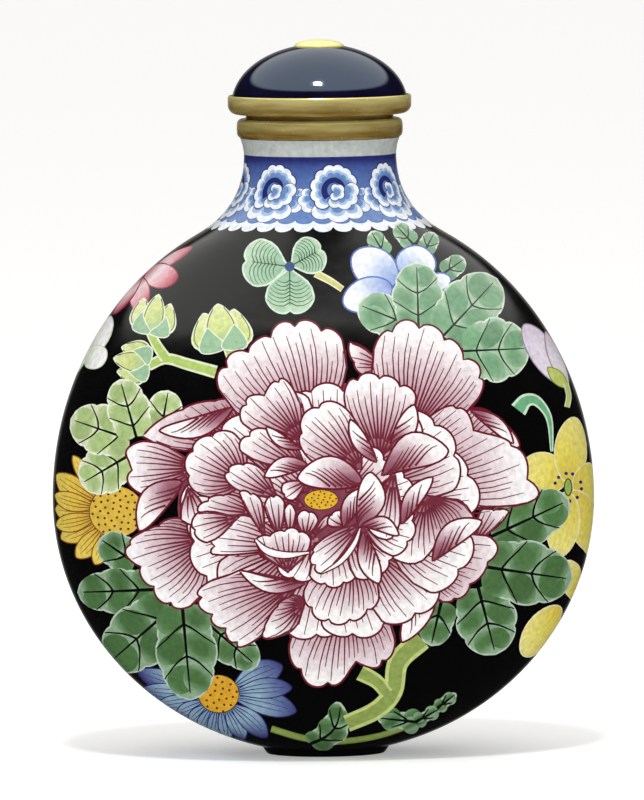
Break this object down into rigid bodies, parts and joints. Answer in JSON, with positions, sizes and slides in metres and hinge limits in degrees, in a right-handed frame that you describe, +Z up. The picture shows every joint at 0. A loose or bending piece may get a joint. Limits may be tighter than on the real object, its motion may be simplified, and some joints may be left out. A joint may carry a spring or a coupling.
{
  "type": "snuff bottle",
  "caption": "Flattened globular enamelled snuff bottle painted with flowers on black, with a gilt mouth ring and a lift-out stopper with a domed blue glass top.",
  "frame": {"origin": "on the ground under the centre of the oval foot", "axes": "+Z up through the neck and stopper, X across the width, -Y towards the painted front"},
  "size_m": [0.047, 0.029, 0.062],
  "materials": {
    "painted_enamel": "glossy black enamel painted with flowers in pink, green, yellow and blue, white neck with a blue scroll border",
    "gilt": "polished gilding, slightly worn",
    "blue_glass": "deep blue, nearly opaque polished glass",
    "bright_gilt": "bright polished gilding"
  },
  "bodies": {
    "root": {"bottle": "painted_enamel", "mouth_ring": "gilt", "stopper_collar": "gilt", "stopper_dome": "blue_glass", "stopper_finial": "bright_gilt"}
  },
  "joints": []
}
